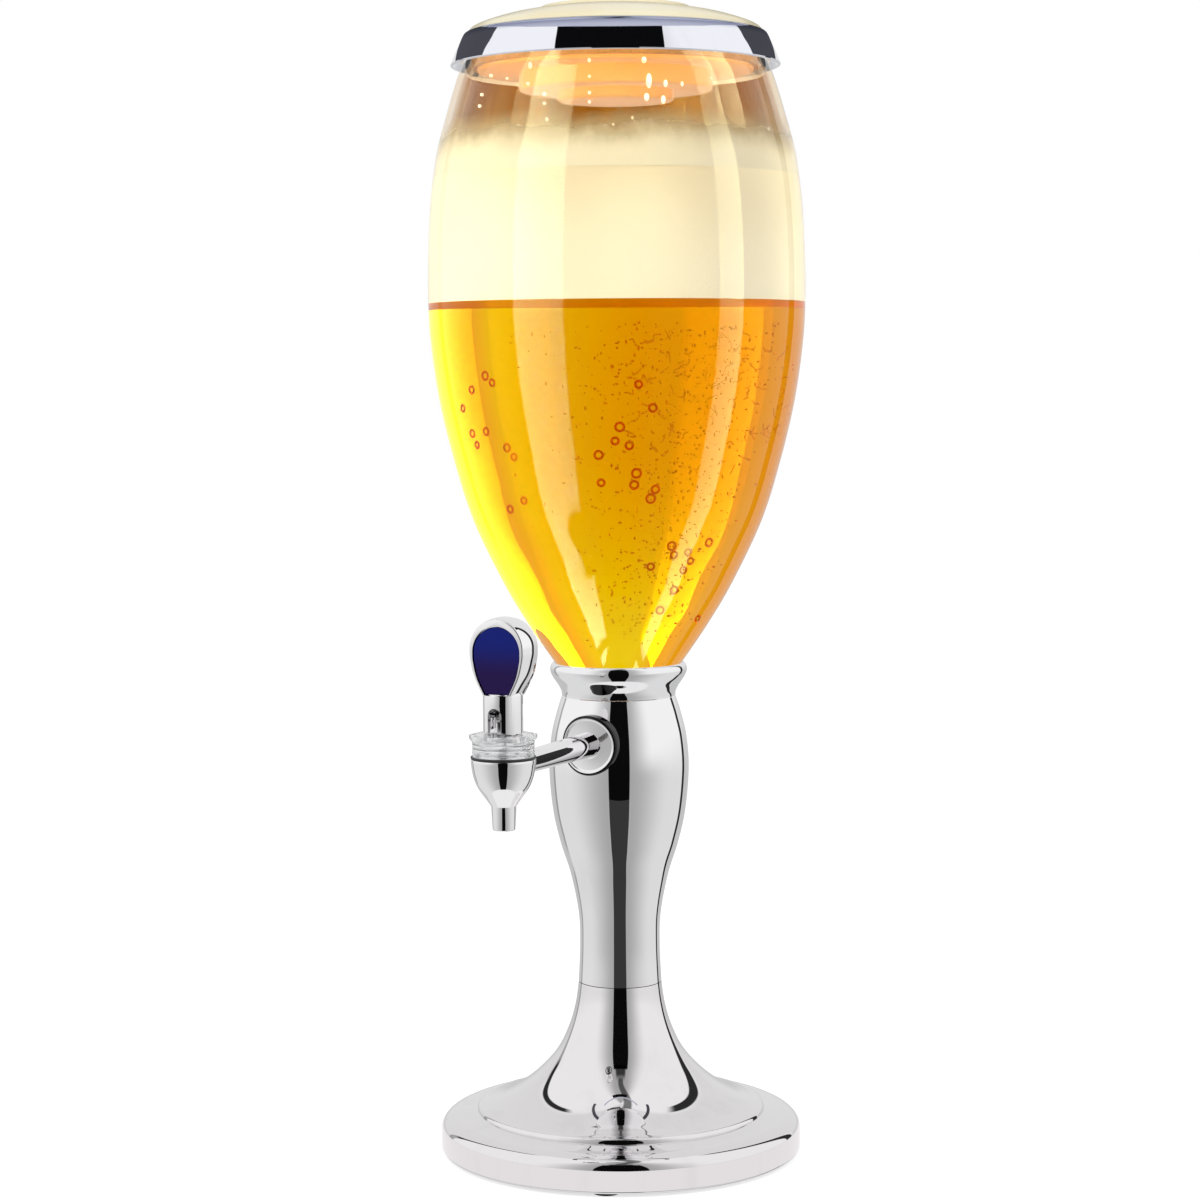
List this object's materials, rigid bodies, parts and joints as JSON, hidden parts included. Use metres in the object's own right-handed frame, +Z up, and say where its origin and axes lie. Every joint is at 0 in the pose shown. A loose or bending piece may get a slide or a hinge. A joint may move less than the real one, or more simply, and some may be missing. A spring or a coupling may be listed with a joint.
{
  "type": "beer tower dispenser",
  "caption": "Table-top drink tower: chromed trumpet base and column, clear egg-shaped barrel with a lift-off lid, and a side tap with a tilting lever.",
  "frame": {"origin": "on the stand's axis at the table, under the middle of the pad below the base", "axes": "+Z up along the stand, -Y from the column towards the tap, +X to the right of someone who faces the tap"},
  "size_m": [0.17, 0.2144, 0.5205],
  "materials": {
    "base_chrome": "polished",
    "plate_black": "satin",
    "ballast_iron": "as cast",
    "foot_rubber": "matt",
    "pad_rubber": "matt",
    "rod_steel": "zinc plated",
    "washer_steel": "zinc plated",
    "nut_steel": "zinc plated",
    "lock_nut_steel": "zinc plated",
    "column_chrome": "polished",
    "collar_chrome": "polished",
    "cup_plastic": "satin",
    "port_silicone": "satin",
    "shank_nut_steel": "satin",
    "neck_silicone": "satin",
    "barrel_clear": "clear gloss",
    "escutcheon_chrome": "polished",
    "tap_chrome": "polished",
    "gasket_rubber": "matt",
    "bonnet_clear": "clear gloss",
    "stem_steel": "satin",
    "o_ring_rubber": "matt",
    "plug_silicone": "satin",
    "spring_steel": "bright wire",
    "lever_chrome": "polished",
    "pin_steel": "satin",
    "insert_blue": "gloss",
    "band_chrome": "polished",
    "dome_plastic": "gloss",
    "plug_plastic": "satin",
    "seal_silicone": "satin"
  },
  "bodies": {
    "stand": {"base_shell": "base_chrome", "base_plate": "plate_black", "ballast_ring": "ballast_iron", "rubber_foot_1": "foot_rubber", "rubber_foot_2": "foot_rubber", "rubber_foot_3": "foot_rubber", "rubber_foot_4": "foot_rubber", "centre_pad": "pad_rubber", "tie_rod": "rod_steel", "tie_rod_washer": "washer_steel", "tie_rod_nut": "nut_steel", "rod_lock_nut": "lock_nut_steel", "column_shell": "column_chrome", "collar_ring": "collar_chrome", "outlet_cup": "cup_plastic", "port_seal": "port_silicone", "shank_nut": "shank_nut_steel", "neck_gasket": "neck_silicone", "barrel": "barrel_clear", "tap_escutcheon": "escutcheon_chrome", "tap_body": "tap_chrome", "bonnet_gasket": "gasket_rubber", "tap_bonnet": "bonnet_clear", "valve_spring": "spring_steel"},
    "stem": {"valve_stem": "stem_steel", "stem_o_ring": "o_ring_rubber", "valve_plug": "plug_silicone"},
    "lever": {"tap_lever": "lever_chrome", "lever_pin": "pin_steel", "lever_insert": "insert_blue"},
    "lid": {"lid_band": "band_chrome", "lid_dome": "dome_plastic", "lid_plug": "plug_plastic", "lid_seal": "seal_silicone"}
  },
  "joints": [
    {"name": "stem_lift", "type": "slide", "parent": "stand", "child": "stem", "axis": [0, 0, 1], "range_m": [0, 0.0022], "deforming": ["valve_spring"]},
    {"name": "lever_tilt", "type": "hinge", "parent": "stem", "child": "lever", "pos_m": [0, -0.115, 0.2136], "axis": [1, 0, 0], "range_deg": [0, 32], "stiffness_Nm_per_rad": 0.05, "springref_deg": -28.65},
    {"name": "lid_lift", "type": "slide", "parent": "stand", "child": "lid", "axis": [0, 0, 1], "range_m": [0, 0.04]}
  ],
  "couplings": [
    {"joint": "stem_lift", "follows": "lever_tilt", "m_per_rad": 0.0038}
  ]
}
